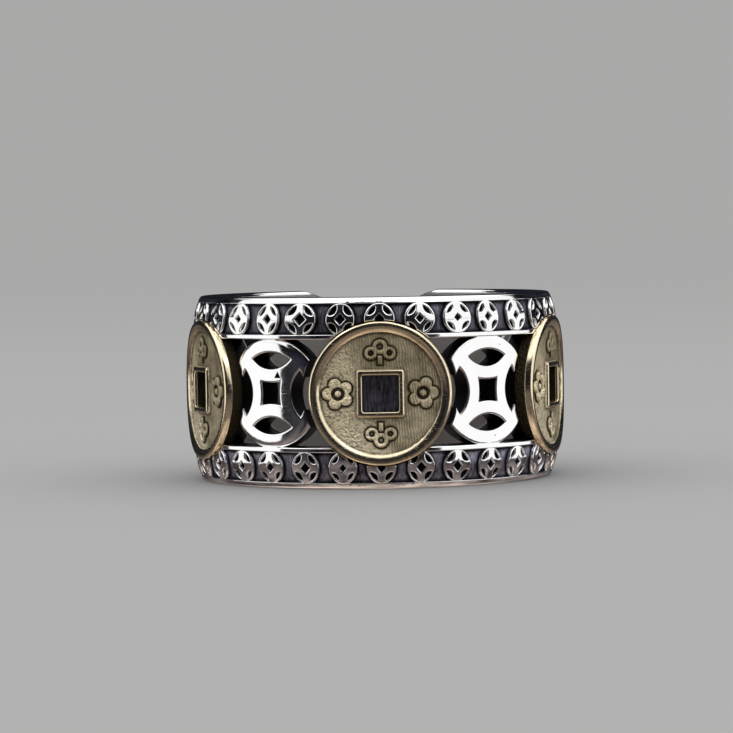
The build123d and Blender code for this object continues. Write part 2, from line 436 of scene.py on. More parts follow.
def band_radius(az, w, motifs, soft):
    """Radius of the outer face, and how dark it lies."""
    rim, gap, piercing = silver_distances(az, np.minimum(w, WINDOW))
    falls = [soft_edge(rim, *soft), soft_edge(gap, *GAP_SOFT), soft_edge(piercing, *PETAL_SOFT)]
    window_fall = soft_edge((az - WINDOW_END) * PLATE, *WINDOW_SOFT)
    fall = np.where(az > WINDOW_END, window_fall, np.max(falls, axis=0))
    level = rail_radius(w)
    plain = np.minimum(level, PLATE)
    up, back = w - WINDOW, (RELIEF_END - az) * RAIL
    inside = np.minimum(up, back)
    base = np.where(up < back, PLATE - fall, plain)
    lip = BORDER_SOFT * np.where(up < back, 1, (level - plain) / (RAIL - PLATE))
    radius = base + (level - lip - base) * np.clip(inside / DRAFT, 0, 1)
    radius += np.where(inside > DRAFT, lip - soft_edge(inside - DRAFT, BORDER_SOFT, 1) * lip, 0)
    radius = np.where(w < WINDOW, PLATE - fall, np.where(back < 0, plain, radius))
    drop, dark = relief_drop(az, w, motifs)
    return radius - drop, dark


def motifs_of(side, rail):
    """Each motif's azimuth in radians, its width against its height, and its openings."""
    shake = np.random.default_rng(len(side) * 10 + len(rail))
    table = list(CUT_MOTIFS[side, rail])
    while len(table) <= MOTIF_STEPS:
        table.append(tuple(np.array(EVEN) + shake.uniform(-1, 1, len(EVEN)) * VARIED))
    made = []
    for step, (turn, wide, ring, width, length, square) in enumerate(table):
        coin = {"radius": MOTIF_RADIUS, "ring": ring, "width": width, "length": length, "square": square}
        made.append((step * PITCH + math.radians(turn), wide, coin))
    return made


def relief_drop(az, w, motifs):
    """Depth of the relief below the rail's face, and how dark it is painted: blackened on the sunken ground,
    with painted shade darkest in corners and pockets.
    """
    y = w - MOTIF_HEIGHT
    disc, pocket = np.full(az.shape, FAR), np.full(az.shape, FAR)
    for place, wide, coin in motifs:
        near = (np.abs(az - place) < NEAR_MOTIF) & (w > WINDOW)
        x = RAIL * np.sin(az[near] - place) / wide
        u, v = (x + y[near]) / math.sqrt(2), (y[near] - x) / math.sqrt(2)
        square = np.maximum(np.abs(u), np.abs(v)) - coin["square"] / 2
        disc[near] = np.minimum(disc[near], np.hypot(x, y[near]) - coin["radius"])
        pocket[near] = np.minimum(pocket[near], np.minimum(petal_distance(u, v, coin), square))
    strip = np.minimum(np.minimum(w - RELIEF_LOW, RELIEF_HIGH - w), (CELL_END - az) * RAIL)
    out = np.minimum(-np.minimum(strip, disc), pocket)
    soft = np.where(strip < disc, LINE_SOFT, SOFT)
    foot_width, foot_rise = FOOT
    foot = foot_rise * (1 - (1 - np.clip((-out - DRAFT) / foot_width, 0, 1)) ** 2)
    wall = soft + (RELIEF - soft - foot_rise) * np.clip(-out / DRAFT, 0, 1) + foot
    drop = np.where(out > 0, soft_edge(out, soft, soft), wall)
    drop = np.where((az < RELIEF_END) & (w > WINDOW), drop, 0)
    # Painted shade: full in the pockets, fading out from the foot of each wall
    corner = np.where(pocket < 0, 1, np.clip(1 + (out + DRAFT) / CORNER_SHADE_WIDTH, 0, 1))
    sunken = np.clip((drop - soft) / (RELIEF - foot_rise - soft), 0, 1)
    return drop, sunken * (OPEN_DARK + (1 - OPEN_DARK) * corner)


def round_band(az, r, z):
    """Points at azimuths, radii and heights."""
    return np.stack([r * np.sin(az), -r * np.cos(az), z], 1)


def bent_out(x, depth):
    """How far out a brass coin's face lies, or what is a depth under it, at a sideways distance."""
    return BRASS_FACE - BRASS_BEND + np.sqrt((BRASS_BEND - depth) ** 2 - x ** 2)


def seat_floor(az, w):
    """Points of the pocket that a brass coin lies in, straight in from the rail's face."""
    axis = brass_axis(az)
    t = RAIL * np.sin(az - axis)
    n = bent_out(t, SEAT_DEPTH)
    return np.stack([n * np.sin(axis) + t * np.cos(axis), t * np.sin(axis) - n * np.cos(axis), w], 1)


def pit_share(s, up, size):
    """How deep in a pit a place lies: 0 at its three sides, 1 at its bottom."""
    to_side = np.maximum(-up, 0.5 * up + SINE_60 * np.abs(s))
    return np.clip(1 - to_side / (PIT_REACH * size), 0, 1)


def band_points(flat, motifs, pits, soft):
    """Places the unrolled outer face in space, in millimetres, with its darkness."""
    az, w = flat[:, 0] / PLATE, flat[:, 1]
    radius, dark = band_radius(az, w, motifs, soft)
    for turn, height, size in pits:
        share = pit_share(flat[:, 0] - math.radians(turn) * PLATE, w - height, size)
        radius -= PIT_DEPTH * size * share
        # Painted shade deepens towards a pit's bottom
        dark = np.maximum(dark, np.clip(PIT_DARK[0] * share, 0, PIT_DARK[1]))
    reach = np.hypot(beside(az, RAIL), w)
    radius -= np.where(w > WINDOW, soft_edge(reach - SEAT - SEAT_WALL, SOFT, SOFT), 0)
    end = soft_edge(end_distance(flat[:, 0], w), *END_SOFT) * np.clip((WAY_END - w) / END_FADE, 0, 1)
    edge = w > FACE_TOP - EXACT
    r, z, out_r, out_z = (np.interp(w, SECTION[:, 0], column) for column in SECTION[:, 1:].T)
    r, z = np.where(edge, r - end * out_r, radius - end), np.where(edge, z - end * out_z, w)
    points = round_band(az, r, z)
    seat = (reach < SEAT + SLACK) & ((w > WINDOW - SLACK) | (reach < BOSS + SLACK)) & ~edge
    points[seat] = seat_floor(az, w)[seat]
    # The pocket under a brass coin is painted as dark as open ground: blackening and painted shade
    return points, np.where(seat, OPEN_DARK, np.where(edge, 0, dark))


# Lines that the unrolled outer face breaks along, over a quarter of the band
COLUMNS = np.radians(np.arange(-COLUMN, 182, COLUMN)) * PLATE
PAST_BACK = 182 * math.pi / 180 * PLATE


def level_line(w, end=PAST_BACK):
    """A line round the band at one height."""
    s = np.append(COLUMNS[COLUMNS < end - OVER / 2], end)
    return np.stack([s, np.full(s.shape, w)], 1)


def upright_line(s, low, high):
    """A line up the band at one place, from one height to another."""
    w = np.arange(low, high + 2 * OVER, LINE_STEP)
    return np.stack([np.full(w.shape, s), np.minimum(w, high)], 1)


def on_band(curve, azimuth, radius, height=0.0):
    """Lays a flat curve on the unrolled face round one azimuth."""
    return np.stack([(azimuth + np.arcsin(curve[:, 0] / radius)) * PLATE, curve[:, 1] + height], 1)


def outside_seats(curve):
    return np.hypot(beside(curve[:, 0] / PLATE, RAIL), curve[:, 1]) > SEAT - OVER / 2


def outside_gaps(curve):
    return np.hypot(beside(curve[:, 0] / PLATE, PLATE), curve[:, 1]) > SEAT_GAP - OVER


def on_silver_coin(curve):
    return np.hypot(silver_place(curve[:, 0] / PLATE), curve[:, 1]) < SILVER["radius"] + OVER


def in_window(curve):
    return curve[:, 1] < WINDOW + OVER


def in_half(curve):
    return curve[:, 0] > PAST_FRONT


def rail_curves():
    """The band's edge, the borders of its rails and cells, the openwork's end and the rounded end."""
    relief_s, window_s, cell_s = RELIEF_END * PLATE, WINDOW_END * PLATE, CELL_END * PLATE
    draft = DRAFT + BORDER_SOFT * np.array(ROWS)
    lines = [LINE_SOFT * share for share in ROWS] + [-DRAFT, -DRAFT - FOOT[0]]
    curves = [level_line(w) for w in [0.0, *SECTION[:, 0]]]
    curves += [level_line(w, relief_s) for w in (WINDOW, *(WINDOW + draft))]
    for w, way in ((RELIEF_LOW, -1), (RELIEF_HIGH, 1)):
        for out in lines:
            curves += cut(level_line(w + way * out, cell_s + OVER), outside_seats)
    curves.append(upright_line(0.0, -LINE_STEP, WAY_END))
    curves += [upright_line(cell_s + out, RELIEF_LOW - OVER, RELIEF_HIGH + OVER) for out in lines]
    curves.append(upright_line(relief_s, 0, FACE_TOP))
    curves += [upright_line(relief_s - out, WINDOW, FACE_TOP) for out in draft]
    curves += [upright_line(window_s + WINDOW_SOFT[0] * share, -LINE_STEP, WINDOW + OVER) for share in ROWS]
    along = np.gradient(END_CURVE, axis=0)
    normal = np.stack([-along[:, 1], along[:, 0]], 1) / np.linalg.norm(along, axis=1)[:, None]
    return curves + [END_CURVE + normal * END_SOFT[0] * share for share in ROWS]


def silver_coin_curves(step, brass_beside, soft):
    """One silver coin's rim, its sides along the brass coins beside it, and its piercings."""
    azimuth = step * COIN_STEP
    curves = []
    for share in COIN_ROWS:
        rim = arc((0, 0), SILVER["radius"] - soft[0] * share, -OVER, math.pi + OVER, ARC_STEP)
        curves += cut(on_band(rim, azimuth, PLATE), lambda c: in_window(c) & outside_gaps(c))
        for brass_step, start, end in brass_beside:
            gap = arc((0, 0), SEAT_GAP + GAP_SOFT[0] * share, start, end, ARC_STEP)
            gap = on_band(gap, brass_step * COIN_STEP, PLATE)
            curves += cut(gap, lambda c: in_window(c) & on_silver_coin(c))
    for share in ROWS:
        out = PETAL_SOFT[0] * share
        shapes = [turned(petal_curve(SILVER, out, ARC_STEP), k * math.pi / 2) for k in range(4)]
        for shape in [*shapes, square_curve(SILVER, out, ARC_STEP)]:
            laid = on_band(shape, azimuth, PLATE)
            curves += cut(laid, lambda c: (c[:, 1] > -LINE_STEP / 2) & outside_gaps(c))
    return curves


def seat_curves():
    """The closed ground behind each brass coin, and its pocket in the rail."""
    curves = []
    for azimuth in (0, 2 * COIN_STEP):
        boss = on_band(arc((0, 0), BOSS, -OVER, math.pi + OVER, BOSS_STEP), azimuth, RAIL)
        curves += cut(boss, lambda c: in_window(c) & in_half(c))
        for out in SEAT_LINES:
            rim = on_band(arc((0, 0), SEAT + out, 0, math.pi, ARC_STEP), azimuth, RAIL)
            curves += cut(rim, lambda c: (c[:, 1] > WINDOW - OVER) & in_half(c))
    return curves


def motif_curves(motifs):
    """The discs, petals and squares of a rail's motifs."""
    curves = []
    for place, wide, coin in motifs:
        for out in [*(SOFT * share for share in ROWS), -DRAFT]:
            shapes = [arc((0, 0), coin["radius"] - out, 0, FULL_TURN, DISC_STEP)]
            shapes += [turned(petal_curve(coin, out, PETAL_STEP), (k + 0.5) * math.pi / 2) for k in range(4)]
            shapes.append(turned(plain_square(coin["square"] / 2 + out, SQUARE_STEP), math.pi / 4))
            for shape in shapes:
                laid = on_band(shape * (wide, 1), place, RAIL, MOTIF_HEIGHT)
                curves += cut(laid, lambda c: outside_seats(c) & in_half(c))
    return curves


def band_curves(motifs, pits, soft):
    """Every line of a quarter; right and left are the parts of a circle round a brass coin, in radians."""
    right, left = (-OVER, 0.9), (2.3, 3.3)
    curves = rail_curves()
    curves += silver_coin_curves(1, ((0, *right), (2, *left)), soft)
    curves += silver_coin_curves(3, ((2, *right),), soft)
    curves += seat_curves() + motif_curves(motifs)
    for turn, height, size in pits:
        curves += [PIT_OUTLINE * size * share + (math.radians(turn) * PLATE, height) for share in PIT_LINES]
    return curves


def bore_lining(lines):
    """The bore's face, unrolled, within the lines of its openings, edge and end."""
    heights = np.arange(-BORE_GRID, BORE_TOP, BORE_GRID)
    turns = np.radians(np.arange(0, 181, COLUMN)) * BORE
    front, middle = [np.zeros(heights.shape), heights], [turns, np.zeros(turns.shape)]
    grid = [(turn, height) for turn in turns[1:] for height in heights[2:]]
    flat, faces = triangles([*lines, np.stack(front, 1), np.stack(middle, 1)], grid, inside_stands, EXACT)
    flat[np.abs(flat) < SNAP] = 0
    return flat, faces


def band_quarter(side, rail):
    """A quarter of the band: points in millimetres, faces, and how dark each point is."""
    motifs, pits, soft = motifs_of(side, rail), PITS.get((side, rail), []), COIN_SOFT[side]
    loose = scattered((2 * OVER, 2 * OVER), (math.pi * PLATE, FACE_TOP - OVER), FACE_GRID, SEEDS["face"])
    low, high = (OVER, RELIEF_LOW + OVER), (CELL_END * PLATE, RELIEF_HIGH - OVER)
    loose += scattered(low, high, GROUND_GRID, SEEDS["ground"])
    flat, faces = triangles(band_curves(motifs, pits, soft), loose, outside_stands)
    flat[np.abs(flat) < SNAP] = 0
    points, dark = band_points(flat, motifs, pits, soft)
    s, w = flat.T
    edges = rim_edges(faces)

    def both(mask):
        return mask[edges].all(axis=1)

    at_end = both(np.abs(s - end_line(w) * PLATE) < WIDE_SLACK)
    at_lip = both(w > WAY_END - TIGHT)
    holes = edges[~(at_end | at_lip | both(w == 0) | both(s == 0))]

    # Walls of the openings, blackened and painted in shade but for their two polished edges
    rim, spots = rim_points(holes)
    outer, inner = points[rim], round_band(s[rim] / PLATE, BORE, w[rim])
    share = WALL_EDGE / np.linalg.norm(outer - inner, axis=1)[:, None]
    walls = [outer + (inner - outer) * share, inner + (outer - inner) * share, inner]
    wall_dark = np.repeat([1.0, 1.0, 0.0], len(rim))

    # The bore, and the line where it meets the rounded end
    tail = edges[at_end]
    tail = tail[np.argsort(w[tail[:, 0]])]
    tail = np.append(tail[:, 0], tail[-1, 1])
    face = tail[w[tail] < LIP + TIGHT]
    turn = bore_end(w[face])
    bored = np.stack([s * BORE / PLATE, w], 1)
    lip = np.stack([s * BORE / PLATE, np.full(s.shape, LIP)], 1)
    lines = [bored[pair] for pair in holes] + [lip[pair] for pair in edges[at_lip]]
    bore_flat, bore_faces = bore_lining([*lines, np.stack([turn * BORE, w[face]], 1)])
    bore = round_band(bore_flat[:, 0] / BORE, BORE, bore_flat[:, 1])

    # The rounded end, closed between the outer face and the bore
    end = round_band(turn, BORE, w[face])
    bore_start = len(points) + len(wall_dark)
    end_start = bore_start + len(bore)
    strip = [(face[i + 1], face[i], end_start + i, end_start + i + 1) for i in range(len(face) - 1)]
    top = tail[len(face) - 1:]
    fan = [(top[-1], top[i + 1], top[i]) for i in range(len(top) - 2)]

    polygons = faces.tolist() + wall_faces(rim, spots, len(points))
    polygons += (bore_faces[:, ::-1] + bore_start).tolist() + strip + fan
    all_dark = np.concatenate([dark, wall_dark, np.zeros(len(bore) + len(end))])
    return np.concatenate([points, *walls, bore, end]), polygons, all_dark


def joined(name, points, polygons, values):
    """A closed mesh in metres, welded, with named values on its points."""
    mesh = bpy.data.meshes.new(name)
    mesh.from_pydata(points.tolist(), [], polygons)
    for label, numbers in values.items():
        flat = numbers.ndim == 1
        layer = mesh.attributes.new(label, "FLOAT" if flat else "FLOAT_VECTOR", "POINT")
        layer.data.foreach_set("value" if flat else "vector", numbers.astype(np.float32).ravel())
    work = bmesh.new()
    work.from_mesh(mesh)
    bmesh.ops.remove_doubles(work, verts=work.verts, dist=WELD)
    work.to_mesh(mesh)
    work.free()
    mesh.shade_smooth()
    mesh.set_sharp_from_angle(angle=SHARP)
    return mesh


def silver_band_mesh():
    """The whole band, joined from its four hand-cut quarters."""
    copies, faces, dark, start = [], [], [], 0
    for side, rail in CUT_MOTIFS:
        points, polygons, values = band_quarter(side, rail)
        flip = (1 if side == "right" else -1, 1, 1 if rail == "upper" else -1)
        order = flip[0] * flip[2]
        faces += [[index + start for index in polygon[::order]] for polygon in polygons]
        copies.append(points * flip)
        dark.append(values)
        start += len(points)
    points = np.concatenate(copies)
    bore = (np.hypot(points[:, 0], points[:, 1]) < BORE + BORE_SLACK).astype(float)
    placed = points * MM + (0, AXIS_Y, MIDDLE * MM)
    # The recess values carry blackening and painted shade
    return joined("silver_band_cast", placed, faces, {"recess_and_shade": np.concatenate(dark), "bore": bore})


# A brass coin, in millimetres on its own face: x across, y up
COIN = 4.27
COIN_FIELD = 3.65  # radius of the sunken field
COIN_DEPTH = 0.28
COIN_THICKNESS = 1.0
COIN_HOLE = 1.09  # half the square hole
HOLE_CORNER = 0.12
COIN_BORDER = 1.4  # half the raised border round it
COIN_CORNER = 0.16
RIM_SLOPE = 0.34  # width of the slope inside the rim
RIM_FALL = (0.27, 0.63)  # its fall, in a straight and in a squared share
RIM_LOW = 0.165  # depth at its foot
BORDER_LOW = 0.1  # depth at the border's upper edge
COIN_WALL = 0.05  # width of the steep walls round the field
COIN_FOOT = (0.08, 0.03)  # fillet at their foot
RIM_SOFT = (0.16, 0.14)
COIN_BORDER_SOFT = (0.11, 0.1)
HOLE_SOFT = (0.09, 0.09)
SIDE_EDGE = {"hole": 0.06, "outside": 0.24}  # bright height of a side below the face
SIDE_BLEND = 0.06  # from polished to blackened and painted in shade
COIN_STEPS = {"line": 0.09, "corner": 0.05, "ornament": 0.07, "face": 0.16, "back": 0.5}
FINE = 0.6  # curls and eyes have this share of the step
STEM_POINTS = 8
LEAST_RADIUS = 1e-3
OUTLINE_SLACK = 4e-3  # points this near to an ornament's outline are on it

# Where the face has lines: insets of the rim, then outsets of the field, border, hole and ornaments
RIM_LINES = (0, 0.01, 0.045, 0.09, 0.16)
FIELD_LINES = (0.37, 0.34, 0.26, 0.18, 0.09, 0.02, 0, -0.05, -0.13)
BORDER_LINES = (0.13, 0.05, 0, -0.015, -0.05, -0.11)
HOLE_LINES = (0, 0.009, 0.032, 0.09)
ORNAMENT_LINES = (0.16, 0.06, 0, -0.008, -0.03, -0.07, -0.13)

# The ornaments, in shares of their height: discs as middle x, middle y and radius
ORNAMENT = 1.9
ORNAMENT_TOP = 0.17  # height over the field
ORNAMENT_SOFT = 0.13
ORNAMENT_PLACE = (COIN_BORDER + COIN_FIELD) / 2
LOBES = [(-0.29, -0.07, 0.21), (0.29, -0.07, 0.21), (0.0, 0.13, 0.24)]
CURL = 0.4  # the open curl in a lobe, as a share of its radius
STEM_HALF = 0.08
STEM_LOW = -0.43
STEM_HIGH = -0.13
PETALS = [(0.3 * math.cos(math.radians(90 + 72 * i)), 0.3 * math.sin(math.radians(90 + 72 * i)), 0.2)
          for i in range(5)]
EYE_RING = 0.2
EYE = 0.11


def rounded_square_distance(x, y, half, corner):
    x, y = np.abs(x) - half + corner, np.abs(y) - half + corner
    return np.hypot(np.clip(x, 0, None), np.clip(y, 0, None)) + np.minimum(np.maximum(x, y), 0) - corner


def rounded_square_curve(half, corner, out, step):
    flat, r = half - corner, corner + out
    side = np.linspace(flat, -flat, 2 + int(2 * flat / step))
    side = np.stack([side, np.full(side.shape, half + out)], 1)
    corner_arc = arc((-flat, flat), max(r, LEAST_RADIUS), math.pi / 2, math.pi, COIN_STEPS["corner"])
    quarter = np.concatenate([side, corner_arc[1:]])
    return np.concatenate([all_round(quarter), quarter[:1]])


def border_distance(x, y):
    return rounded_square_distance(x, y, COIN_BORDER, COIN_CORNER)


def hole_distance(x, y):
    return rounded_square_distance(x, y, COIN_HOLE, HOLE_CORNER)


def discs_distance(x, y, discs):
    """Distance to the nearest of some discs of an ornament, below zero inside one."""
    return np.min([np.hypot(x - a * ORNAMENT, y - b * ORNAMENT) - r * ORNAMENT for a, b, r in discs], axis=0)


def cloud_distance(x, y):
    """A three-lobed cloud with open curls on a short stem."""
    middle, half = (STEM_LOW + STEM_HIGH) / 2, (STEM_HIGH - STEM_LOW) / 2
    stem = np.maximum(np.abs(x) - STEM_HALF * ORNAMENT, np.abs(y - middle * ORNAMENT) - half * ORNAMENT)
    curls = discs_distance(x, y, [(a, b, CURL * r) for a, b, r in LOBES])
    return np.maximum(np.minimum(discs_distance(x, y, LOBES), stem), -curls)


def blossom_distance(x, y):
    """A five-petalled blossom with an open ring round its eye."""
    ring = discs_distance(x, y, [(0, 0, EYE_RING)])
    return np.minimum(np.maximum(discs_distance(x, y, PETALS), -ring), discs_distance(x, y, [(0, 0, EYE)]))


def disc_curves(discs, out, step):
    """Circles round some discs of an ornament, moved outwards."""
    return [arc((a * ORNAMENT, b * ORNAMENT), r * ORNAMENT + out, 0, FULL_TURN, step) for a, b, r in discs]


def on_outline(curves, distance, out):
    """The runs of curves that lie a distance outside an ornament."""
    kept = []
    for curve in curves:
        kept += cut(curve, lambda p: np.abs(distance(*p.T) - out) < OUTLINE_SLACK)
    return kept


def cloud_curves(out, step):
    curls = [(a, b, CURL * r) for a, b, r in LOBES if CURL * r * ORNAMENT > out]
    curves = disc_curves(LOBES, out, step) + disc_curves(curls, -out, FINE * step)
    half, low, high = STEM_HALF * ORNAMENT + out, STEM_LOW * ORNAMENT - out, STEM_HIGH * ORNAMENT
    for line in (((-half, low), (half, low)), ((half, low), (half, high)), ((-half, high), (-half, low))):
        curves.append(np.linspace(*line, STEM_POINTS))
    return on_outline(curves, cloud_distance, out)


def blossom_curves(out, step):
    curves = disc_curves(PETALS, out, step)
    curves += disc_curves([(0, 0, EYE_RING)], -out, FINE * step)
    curves += disc_curves([(0, 0, EYE)], out, FINE * step)
    return on_outline(curves, blossom_distance, out)


def ornament_distance(x, y):
    """Distance to the nearest of the four ornaments: clouds above and below, blossoms at the sides."""
    found = []
    for turn in range(4):
        c, s = math.cos(-turn * math.pi / 2), math.sin(-turn * math.pi / 2)
        a, b = c * x - s * y, s * x + c * y - ORNAMENT_PLACE
        found.append((cloud_distance if turn % 2 == 0 else blossom_distance)(a, b))
    return np.min(found, axis=0)


def coin_depth(x, y):
    """How far the face of a brass coin lies below its rim, and how dark it is painted: patina by depth, with
    painted shade round everything raised.
    """
    reach = np.hypot(x, y)
    rim = COIN_FIELD - reach
    border = border_distance(x, y)
    out = np.minimum(rim, border)
    run = np.clip(RIM_SLOPE + rim, 0, RIM_SLOPE)
    rim_slope = run * (RIM_FALL[0] + RIM_FALL[1] * run)
    border_edges = np.maximum(soft_edge(-out, *COIN_BORDER_SOFT), soft_edge(hole_distance(x, y), *HOLE_SOFT))
    proud = np.where(rim < border, rim_slope, border_edges)
    foot_width, foot_rise = COIN_FOOT
    field = COIN_DEPTH - foot_rise * (1 - np.clip((out - COIN_WALL) / foot_width, 0, 1)) ** 2
    low = np.where(rim < border, RIM_LOW, BORDER_LOW)
    depth = np.where(out < 0, proud, low + (field - low) * np.clip(out / COIN_WALL, 0, 1))
    depth = np.where(reach > COIN_FIELD, np.maximum(depth, soft_edge(COIN - reach, *RIM_SOFT)), depth)
    shape = ornament_distance(x, y)
    top = COIN_DEPTH - ORNAMENT_TOP + soft_edge(-shape, ORNAMENT_SOFT, ORNAMENT_TOP)
    depth = np.where((shape < 0) & (out > 0), np.minimum(depth, top), depth)
    # Painted shade along the foot of the rim, the border and the ornaments
    corner = np.clip(1 - np.minimum(out, np.maximum(shape, 0)) / COIN_CORNER_SHADE_WIDTH, 0, 1)
    dark = depth / COIN_DEPTH * (OPEN_DARK + (1 - OPEN_DARK) * corner)
    return depth, np.where(out > 0, dark, 0)


def coin_stands(flat):
    x, y = flat.T
    return (np.hypot(x, y) < COIN) & (hole_distance(x, y) > 0)


def in_field(flat):
    x, y = flat.T
    return np.minimum(COIN_FIELD - np.hypot(x, y), border_distance(x, y)) > 0


def coin_curves():
    """Every line of a brass coin's face."""
    step = COIN_STEPS["line"]
    radii = [COIN - inset for inset in RIM_LINES] + [COIN_FIELD + out for out in FIELD_LINES]
    curves = [arc((0, 0), radius, 0, FULL_TURN, step) for radius in radii]
    curves += [rounded_square_curve(COIN_BORDER, COIN_CORNER, out, step) for out in BORDER_LINES]
    curves += [rounded_square_curve(COIN_HOLE, HOLE_CORNER, out, step) for out in HOLE_LINES]
    for turn in range(4):
        for out in ORNAMENT_LINES:
            made = (cloud_curves if turn % 2 == 0 else blossom_curves)(out, COIN_STEPS["ornament"])
            for curve in made:
                curves += cut(turned(curve + (0, ORNAMENT_PLACE), turn * math.pi / 2), in_field)
    return curves


def brass_coin_mesh():
    """A coin on the front of the band: points in millimetres, faces, and the values on its points."""
    low, high = (-COIN, -COIN), (COIN, COIN)
    face_grid = scattered(low, high, COIN_STEPS["face"], SEEDS["coin"])
    flat, faces = triangles(coin_curves(), face_grid, coin_stands)
    depth, recess_and_shade = coin_depth(*flat.T)
    edges = rim_edges(faces)
    rim, spots = rim_points(edges)
    back_grid = scattered(low, high, COIN_STEPS["back"], SEEDS["coin back"])
    back_flat, back_faces = triangles([flat[pair] for pair in edges], back_grid, coin_stands, EXACT)

    # Sides and back: the sides are polished near the face, and blackened and painted in shade below
    flats = np.concatenate([flat, flat[rim], flat[rim], flat[rim], back_flat])
    bright = np.where(np.hypot(*flat[rim].T) < COIN / 2, SIDE_EDGE["hole"], SIDE_EDGE["outside"])
    back_depth = np.full(len(rim) + len(back_flat), COIN_THICKNESS)
    below = np.concatenate([depth, depth[rim] + bright, depth[rim] + bright + SIDE_BLEND, back_depth])
    recess_and_shade = np.concatenate([recess_and_shade, np.zeros(len(rim)), np.ones(2 * len(rim) + len(back_flat))])
    points = np.stack([flats[:, 0], -bent_out(flats[:, 0], below), flats[:, 1]], 1)
    back_start = len(flat) + 3 * len(rim)
    polygons = faces.tolist() + wall_faces(rim, spots, len(flat))
    polygons += (back_faces[:, ::-1] + back_start).tolist()
    return points, polygons, {"recess_and_shade": recess_and_shade, "spot": np.column_stack([flats, below])}


# Finishes
SILVER_COLORS = {
    "polished": (0.93, 0.925, 0.92, 1),
    "bore": (0.25, 0.237, 0.228, 1),
    # painted light: the ground is lighter at the lower rail than at the upper one
    "lower ground painted light": (0.62, 0.6, 0.73, 1),
    "upper ground painted shade": (0.28, 0.265, 0.32, 1),
    "strokes": (0.035, 0.033, 0.046, 1),
    # painted shade for corners and openings
    "corner_shade": (0.008, 0.008, 0.011, 1),
}
BRASS_COLORS = {
    "polished": (0.92, 0.79, 0.55, 1),
    # painted light: the ground is lighter at the lower rail than at the upper one
    "lower ground painted light": (0.92, 0.82, 0.6, 1),
    "upper ground painted shade": (0.68, 0.595, 0.41, 1),
    "patina": (0.17, 0.14, 0.075, 1),
    # painted shade for corners and the coin's sides
    "corner_shade": (0.035, 0.027, 0.014, 1),
}
LOWER_RAIL, UPPER_RAIL = 3 * MM, 8.5 * MM  # the ground's painted light runs from one height to the other, lighter below
FILE_MARKS = 0.165  # millimetres from one file mark on the brass to the next
HUNDREDTH = 0.01 * MM  # heights in the finishes are in hundredths of a millimetre
FLOAT = "NodeSocketFloat"


class Sheet:
    """Short words for putting nodes into a tree."""

    def __init__(self, tree):
        self.tree = tree

    def put(self, value, socket):
        if isinstance(value, bpy.types.NodeSocket):
            self.tree.links.new(value, socket)
        else:
            socket.default_value = value

    def node(self, kind, inputs=None, **settings):
        made = self.tree.nodes.new("ShaderNode" + kind)
        for key, value in settings.items():
            setattr(made, key, value)
        for key, value in (inputs or {}).items():
            self.put(value, made.inputs[key])
        return made

    def work_out(self, kind, a, b=0.0):
        return self.node("Math", {0: a, 1: b}, operation=kind).outputs[0]

    def add(self, *parts):
        """The sum of several (value, factor) pairs."""
        total = 0.0
        for value, factor in parts:
            total = self.node("Math", {0: value, 1: factor, 2: total}, operation="MULTIPLY_ADD").outputs[0]
        return total

    def blend(self, share, a, b):
        """From one color to another."""
        made = self.node("Mix", {0: share}, data_type="RGBA")
        self.put(a, made.inputs[6])
        self.put(b, made.inputs[7])
        return made.outputs[2]

    def span(self, value, low, high, to_low=0.0, to_high=1.0):
        return self.node("MapRange", {0: value, 1: low, 2: high, 3: to_low, 4: to_high}).outputs[0]

    def noise(self, where, scale, detail=3.0, rough=0.5, twist=0.0):
        inputs = {"Vector": where, "Scale": scale, "Detail": detail, "Roughness": rough, "Distortion": twist}
        return self.node("TexNoise", inputs).outputs[0]

    def stretched(self, where, turn, size):
        return self.node("Mapping", {"Vector": where, "Rotation": turn, "Scale": size}).outputs[0]

    def place(self):
        return self.node("TexCoord").outputs["Object"]

    def up(self):
        """How high a place is on the ring: 0 at its lower rail, 1 at the upper one."""
        return self.span(self.node("SeparateXYZ", {0: self.place()}).outputs[2], LOWER_RAIL, UPPER_RAIL)

    def value(self, name, output="Fac"):
        """A value that the mesh holds at its points."""
        return self.node("Attribute", attribute_name=name).outputs[output]

    def effect(self, tree, **inputs):
        """The outputs of a shared effect."""
        return self.node("Group", inputs, node_tree=tree).outputs


def group(name, inputs, outputs):
    """An empty node group with named sockets, and its own input and output nodes."""
    tree = bpy.data.node_groups.new(name, "ShaderNodeTree")
    for label, value in inputs.items():
        tree.interface.new_socket(label, in_out="INPUT", socket_type=FLOAT).default_value = value
    for label in outputs:
        tree.interface.new_socket(label, in_out="OUTPUT", socket_type=FLOAT)
    return Sheet(tree), tree.nodes.new("NodeGroupInput").outputs, tree.nodes.new("NodeGroupOutput").inputs


def tarnish_and_shade_group():
    """Dark film: how much of it lies on open ground, and how much painted shade lies in the corners."""
    sheet, given, out = group("tarnish_and_shade", {"Recess": 0.0, "Scale": 900.0, "Patches": 0.3}, ["Film", "Corner_shade"])
    patches = sheet.noise(sheet.place(), given["Scale"], 4.0, 0.6)
    worn = sheet.work_out("SUBTRACT", given["Recess"], sheet.work_out("MULTIPLY", patches, given["Patches"]))
    sheet.put(sheet.span(worn, 0.05, 0.3), out["Film"])
    sheet.put(sheet.span(worn, 0.45, 0.8), out["Corner_shade"])
    return sheet.tree


